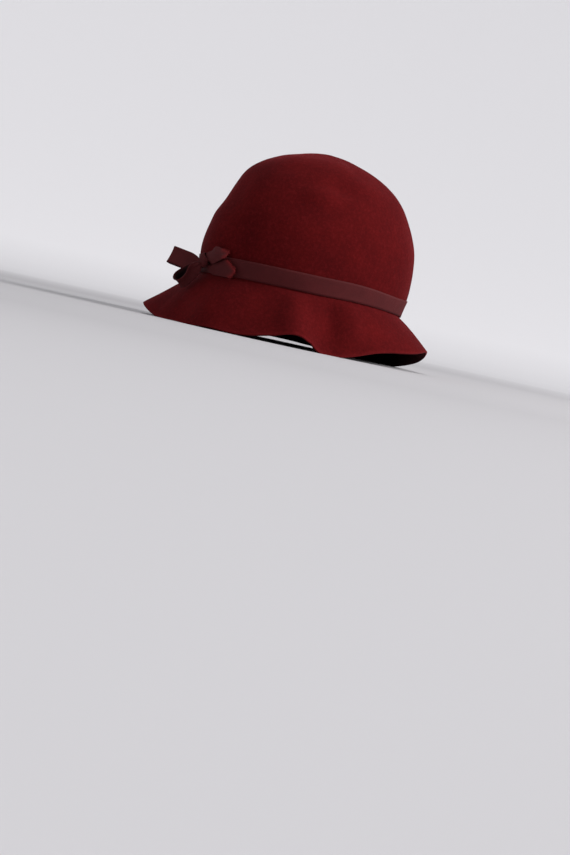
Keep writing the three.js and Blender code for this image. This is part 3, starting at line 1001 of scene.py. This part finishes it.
# %% Frayed ends by Geometry Nodes
FRAY = {
    "Threads per square metre": 4.0e6,
    "Thread length": 1.5 * MM,
    "Thread radius": 0.09 * MM,
    "Lean": math.radians(38),
    "Seed": 4,
}
RAW_END = 0.995
THREAD_BENDS = {"Middle": (0.25, 0, 0.5), "End": (-0.1, 0.2, 1)}
THREAD_POINTS = 5
THREAD_SIDES = 5


def frayed_tree():
    kinds = {key: "NodeSocketFloat" for key in FRAY} | {"Seed": "NodeSocketInt"}
    tree, given, result = new_group("Frayed end", kinds | {"Material": "NodeSocketMaterial"})
    give = given.outputs
    raw = add_node(tree, "GeometryNodeInputNamedAttribute", {"data_type": "FLOAT"}, {"Name": "raw"})
    at_end = math_node(tree, "GREATER_THAN", raw.outputs["Attribute"], RAW_END)
    sockets = {"Mesh": give["Geometry"], "Selection": at_end, "Seed": give["Seed"]}
    sockets["Density"] = give["Threads per square metre"]
    spots = add_node(tree, "GeometryNodeDistributePointsOnFaces", None, sockets)
    sockets = {key: scaled(tree, bend, give["Thread length"]) for key, bend in THREAD_BENDS.items()}
    sockets |= {"Resolution": THREAD_POINTS, "Start": (0, 0, 0)}
    line = add_node(tree, "GeometryNodeCurveQuadraticBezier", None, sockets)
    sockets = {"Resolution": THREAD_SIDES, "Radius": give["Thread radius"]}
    ring = add_node(tree, "GeometryNodeCurvePrimitiveCircle", None, sockets)
    sockets = {"Curve": line.outputs[0], "Profile Curve": ring.outputs[0], "Fill Caps": True}
    tube = add_node(tree, "GeometryNodeCurveToMesh", None, sockets)
    sockets = {"Geometry": tube.outputs[0], "Name": "raw", "Value": 1.0}
    thread = add_node(tree, "GeometryNodeStoreNamedAttribute", {"data_type": "FLOAT"}, sockets)
    back = math_node(tree, "MULTIPLY", give["Lean"], -1.0)
    sockets = {"X": back, "Y": back, "Z": -math.pi}
    least = add_node(tree, "ShaderNodeCombineXYZ", None, sockets)
    sockets = {"X": give["Lean"], "Y": give["Lean"], "Z": math.pi}
    most = add_node(tree, "ShaderNodeCombineXYZ", None, sockets)
    sockets = {0: least.outputs[0], 1: most.outputs[0], "Seed": give["Seed"]}
    lean = add_node(tree, "FunctionNodeRandomValue", {"data_type": "FLOAT_VECTOR"}, sockets)
    sockets = {"Rotation": spots.outputs["Rotation"], "Rotate By": lean.outputs[0]}
    turned = add_node(tree, "FunctionNodeRotateRotation", {"rotation_space": "LOCAL"}, sockets)
    sockets = {"Points": spots.outputs["Points"], "Instance": thread.outputs[0]}
    sockets["Rotation"] = turned.outputs[0]
    threads = add_node(tree, "GeometryNodeInstanceOnPoints", None, sockets)
    joined = add_node(tree, "GeometryNodeJoinGeometry")
    tree.links.new(give["Geometry"], joined.inputs[0])
    tree.links.new(threads.outputs[0], joined.inputs[0])
    return finish_tree(tree, given, result, joined.outputs[0])


FRAYED = frayed_tree()
print("nodes in the frayed end:", len(FRAYED.nodes))

# %% [markdown]
# The materials are built from nodes. Their arithmetic reads badly as a list of Math nodes,
# so one small class stands for a value inside a material and lets it be added, multiplied
# and divided like a number. Every other node comes from one method that takes its type, its
# settings and its sockets.

# %% A small language for materials


class Value:
    """A number or colour inside a material. Arithmetic on it adds Math nodes."""

    def __init__(self, shader, socket):
        self.shader = shader
        self.socket = socket

    def math(self, operation, first, second=0.0):
        return self.shader.node("ShaderNodeMath", {"operation": operation}, {0: first, 1: second})

    def __add__(self, other):
        return self.math("ADD", self, other)

    def __radd__(self, other):
        return self.math("ADD", other, self)

    def __sub__(self, other):
        return self.math("SUBTRACT", self, other)

    def __rsub__(self, other):
        return self.math("SUBTRACT", other, self)

    def __mul__(self, other):
        return self.math("MULTIPLY", self, other)

    def __truediv__(self, other):
        return self.math("DIVIDE", self, other)

    def sine(self):
        return self.math("SINE", self)

    def limited(self):
        return self.shader.node("ShaderNodeClamp", None, {"Value": self})


class Shader:
    """A material under construction, with a Principled surface."""

    def __init__(self, name):
        self.material = bpy.data.materials.new(name)
        self.material.use_nodes = True
        self.tree = self.material.node_tree
        self.surface = self.tree.nodes["Principled BSDF"]

    def node(self, kind, settings=None, sockets=None, output=0):
        node = self.tree.nodes.new(kind)
        for key, value in (settings or {}).items():
            setattr(node, key, value)
        self.fill(node, sockets or {})
        return Value(self, node.outputs[output])

    def fill(self, node, sockets):
        for key, value in sockets.items():
            if isinstance(value, Value):
                self.tree.links.new(value.socket, node.inputs[key])
            else:
                node.inputs[key].default_value = value

    def set(self, **sockets):
        self.fill(self.surface, {key.replace("_", " "): value for key, value in sockets.items()})

    def attribute(self, name):
        return self.node("ShaderNodeAttribute", {"attribute_name": name}, None, "Fac")

    def place(self):
        return self.node("ShaderNodeTexCoord", None, None, "Object")

    def noise(self, size, detail=2.0, roughness=0.5, place=None):
        """Soft random variation from 0 to 1, with lumps of about the given size in metres."""
        sockets = {"Vector": place or self.place(), "Scale": 1 / size}
        sockets |= {"Detail": detail, "Roughness": roughness}
        return self.node("ShaderNodeTexNoise", None, sockets, "Fac")

    def mix(self, share, first, second):
        sockets = {"Factor": share, "A": first, "B": second}
        names = {"Factor": 0, "A": 6, "B": 7}
        settings = {"data_type": "RGBA"}
        return self.node("ShaderNodeMix", settings, {names[k]: v for k, v in sockets.items()}, 2)

    def bump(self, height, distance, strength=1.0):
        sockets = {"Height": height, "Distance": distance, "Strength": strength}
        return self.node("ShaderNodeBump", None, sockets, "Normal")


def colour(red, green, blue):
    """A colour as seen on a screen, 0 to 255, as the linear values that a shader wants."""
    shares = [value / 255 for value in (red, green, blue)]
    linear = [s / 12.92 if s <= 0.04045 else ((s + 0.055) / 1.055) ** 2.4 for s in shares]
    return (*linear, 1.0)


print("a screen's middle grey, linear:", round(colour(128, 128, 128)[0], 3))

# %% [markdown]
# Wool felt has no weave. It is a mat of fine fibres brushed to a short nap, so light that
# grazes it catches the fibre tips and leaves a soft pale bloom, while light that meets it
# straight on sinks in. Sheen gives that bloom, a rough surface takes the shine away, and
# noise of three sizes gives the mottled dye, the lie of the nap and the single fibres. The
# cut edge and the crease are a little paler from wear, and the inside is darkened with painted
# shade.

# %% The felt's material
FELT_MID = colour(82, 13, 14)
FELT_DEEP = colour(70, 10, 12)
FELT_WORN = colour(100, 24, 27)
FELT_DARK = colour(52, 8, 10)
# painted shade: the inner face is the same felt, darkened here for its shade
FELT_INSIDE_SHADE = colour(22, 7, 7)


def felt_material():
    felt = Shader("brushed wool felt")
    place = felt.place()
    mottle = felt.noise(0.03, 2.0, 0.5, place)
    nap = felt.noise(0.0028, 3.0, 0.65, place)
    fibres = felt.noise(0.0007, 2.0, 0.7, place)
    dyed = felt.mix(((mottle - 0.35) * 2.2).limited(), FELT_DEEP, FELT_MID)
    shaded = felt.mix(((0.5 - nap) * 1.6).limited(), dyed, FELT_DARK)
    tipped = felt.mix(((nap - 0.5) * 1.5).limited(), shaded, FELT_WORN)
    wear = (felt.attribute("edge") * 0.5 + felt.attribute("crease") * 0.12) * (0.5 + mottle)
    worn = felt.mix(wear.limited(), tipped, FELT_WORN)
    # painted shade on the inner face, from the inside mask
    inside_shaded = felt.mix(felt.attribute("inside"), worn, FELT_INSIDE_SHADE)
    height = nap * 0.6 + fibres * 0.4
    felt.set(
        Base_Color=inside_shaded,
        Roughness=0.86 + nap * 0.12,
        Specular_IOR_Level=0.03,
        Sheen_Weight=0.17,
        Sheen_Roughness=0.32,
        Sheen_Tint=colour(235, 100, 112),
        Normal=felt.bump(height, 0.0006, 0.6),
    )
    return felt.material


FELT = felt_material()
hat_felt.data.materials.append(FELT)
print("felt material nodes:", len(FELT.node_tree.nodes))

# %% [markdown]
# The ribbon is greyer and duller than the felt, a rayon and cotton grosgrain. Its ribs are
# real, so the material adds what is finer: the warp threads that run along the ribbon over
# each rib, painted shade in the grooves, a cut end that shows its brighter threads, and
# painted shade on the inside of the loops.

# %% The ribbon's material
RIBBON_MID = colour(84, 27, 29)
RIBBON_DEEP = colour(66, 20, 22)
RIBBON_RAW = colour(118, 28, 30)
# painted shade for the inner face of the loops
RIBBON_LOOP_SHADE = colour(24, 7, 8)
RIB_HEIGHT = 0.07
WARP_PITCH = 0.34


def ribbon_material():
    ribbon = Shader("grosgrain ribbon")
    cloud = ribbon.noise(0.012, 2.0)
    slub = ribbon.noise(0.0012, 2.0)
    along = ribbon.attribute("along")
    across = ribbon.attribute("across")
    # painted shade in the grooves between the ribs
    groove_shade = 0.5 - (along * (2 * math.pi / (RIB_PITCH * MM)) + math.pi / 2).sine() * 0.5
    warp = (across * (2 * math.pi / (WARP_PITCH * MM))).sine() * 0.5 + 0.5
    # random tone from dye and slubs, with the grooves' painted shade; dyed below carries both
    shade = (cloud * 0.7 + slub * 0.5 - groove_shade * 0.35).limited()
    dyed = ribbon.mix(shade, RIBBON_DEEP, RIBBON_MID)
    ended = ribbon.mix(ribbon.attribute("raw") * 0.8, dyed, RIBBON_RAW)
    # painted shade on the inner face of the loops
    inner = ribbon.mix(ribbon.attribute("enclosed"), ended, RIBBON_LOOP_SHADE)
    ribbon.set(
        Base_Color=inner,
        Roughness=0.62 + slub * 0.2,
        Specular_IOR_Level=0.12,
        Sheen_Weight=0.05,
        Sheen_Roughness=0.4,
        Sheen_Tint=colour(220, 170, 175),
        Normal=ribbon.bump(warp * 0.5 + slub * 0.5, 0.0001, 0.5),
    )
    return ribbon.material


RIBBON = ribbon_material()
RIBBON_PIECES = [hat_band, hat_knot, hat_side_loop, hat_front_loop, hat_upper_tail, hat_side_tail]
for piece in RIBBON_PIECES:
    values = {"Rib pitch": RIB_PITCH * MM, "Rib height": RIB_HEIGHT * MM, "Material": RIBBON}
    print(piece.name, "points with ribs:", run_tree(piece, RIBS, values))
for piece in (hat_upper_tail, hat_side_tail):
    values = FRAY | {"Material": RIBBON}
    print(piece.name, "points with threads:", run_tree(piece, FRAYED, values))

# %% [markdown]
# The hat stands on a plain pale floor that curves up into a wall all round, so that no
# horizon shows from any side. The wall is lit from behind, as a studio backdrop of thin
# cloth can be. Lamps on its near side would do too, but they would also light the hat's
# shaded side.

# %% The floor and backdrop
FLOOR_RINGS = (0.25, 0.6, 1.1, 1.7)
FLOOR_CURVE = 3.2
FLOOR_SIDES = 96
WALL_RINGS = 24
GLOW_FROM = 0.6
GLOW_FULL = 2.4
GLOW = (0.5, 0.495, 0.51, 1)


def backdrop_mesh():
    rings = [(radius, 0.0) for radius in FLOOR_RINGS]
    for turn in np.radians(np.linspace(4, 90, WALL_RINGS)):
        radius = FLOOR_RINGS[-1] + FLOOR_CURVE * math.sin(turn)
        rings.append((radius, FLOOR_CURVE * (1 - math.cos(turn))))
    angles = np.arange(FLOOR_SIDES) * 2 * math.pi / FLOOR_SIDES
    points = [(0.0, 0.0, 0.0)]
    for radius, height in rings:
        points += [(radius * math.cos(a), radius * math.sin(a), height) for a in angles]
    faces = [(0, 1 + k, 1 + (k + 1) % FLOOR_SIDES) for k in range(FLOOR_SIDES)]
    for here in range(1, len(points) - FLOOR_SIDES, FLOOR_SIDES):
        after = here + FLOOR_SIDES
        for k in range(FLOOR_SIDES):
            beside = (k + 1) % FLOOR_SIDES
            faces.append((here + k, after + k, after + beside, here + beside))
    mesh = bpy.data.meshes.new("floor")
    mesh.from_pydata(points, [], faces)
    mesh.polygons.foreach_set("use_smooth", np.ones(len(faces), dtype=bool))
    mesh.update()
    return mesh


floor = add_object("floor", backdrop_mesh())
paint = Shader("pale backdrop")
from_hat = paint.node("ShaderNodeVectorMath", {"operation": "LENGTH"}, {0: paint.place()}, "Value")
glowing = ((from_hat - GLOW_FROM) / (GLOW_FULL - GLOW_FROM)).limited()
paint.set(
    Base_Color=colour(182, 181, 184),
    Roughness=0.9,
    Specular_IOR_Level=0.05,
    Emission_Color=paint.mix(glowing, (0, 0, 0, 1), GLOW),
    Emission_Strength=1.0,
)
floor.data.materials.append(paint.material)
print("floor points:", len(floor.data.vertices))

# %% [markdown]
# The light is soft and comes mostly from the hat's back left, which is the right of the
# picture, and from above. So the front and its bow lie in soft shade, and the nap blooms
# along the right side and the top.

# %% Lights
HAT_MIDDLE = Vector((0, 0, 80)) * MM


def softbox(name, place, size, power, tint=(1, 1, 1)):
    data = bpy.data.lights.new(name, "AREA")
    data.shape = "DISK"
    data.size = size
    data.energy = power
    data.color = tint
    lamp = bpy.data.objects.new(name, data)
    lamp.location = place
    aim = HAT_MIDDLE - Vector(place)
    lamp.rotation_euler = aim.to_track_quat("-Z", "Y").to_euler()
    bpy.context.scene.collection.objects.link(lamp)
    return lamp


softbox("window", place=(1.5, 1.2, 1.05), size=1.2, power=52, tint=(1.0, 0.98, 0.97))
softbox("ceiling", place=(0.1, 0.0, 2.4), size=2.0, power=27)
world = bpy.data.worlds.new("room light")
world.use_nodes = True
sky = world.node_tree.nodes["Background"]
sky.inputs["Color"].default_value = (0.9, 0.93, 1.0, 1.0)
sky.inputs["Strength"].default_value = 0.1
bpy.context.scene.world = world
bpy.context.scene.view_settings.view_transform = "Standard"

# %% [markdown]
# Last, every piece is tied to the imported model: what carries it and which solid it
# replaces. The table also names each piece's material slot, which nothing here reads.
# Felt and ribbon are sheets: the felt began as a round hood blank, the ribbons as cut
# lengths.

# %% The pieces and their places
REPLACED = {
    "hat_felt": ("felt_body", "felt"),
    "hat_band": ("ribbon_band", "ribbon"),
    "hat_knot": ("bow_knot", "ribbon"),
    "hat_side_loop": ("bow_side_loop", "ribbon"),
    "hat_front_loop": ("bow_front_loop", "ribbon"),
    "hat_upper_tail": ("bow_upper_tail", "ribbon"),
    "hat_side_tail": ("bow_side_tail", "ribbon"),
}

for name, (node, slot) in REPLACED.items():
    piece = bpy.data.objects[name]
    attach(piece, "root")
    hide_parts(node)
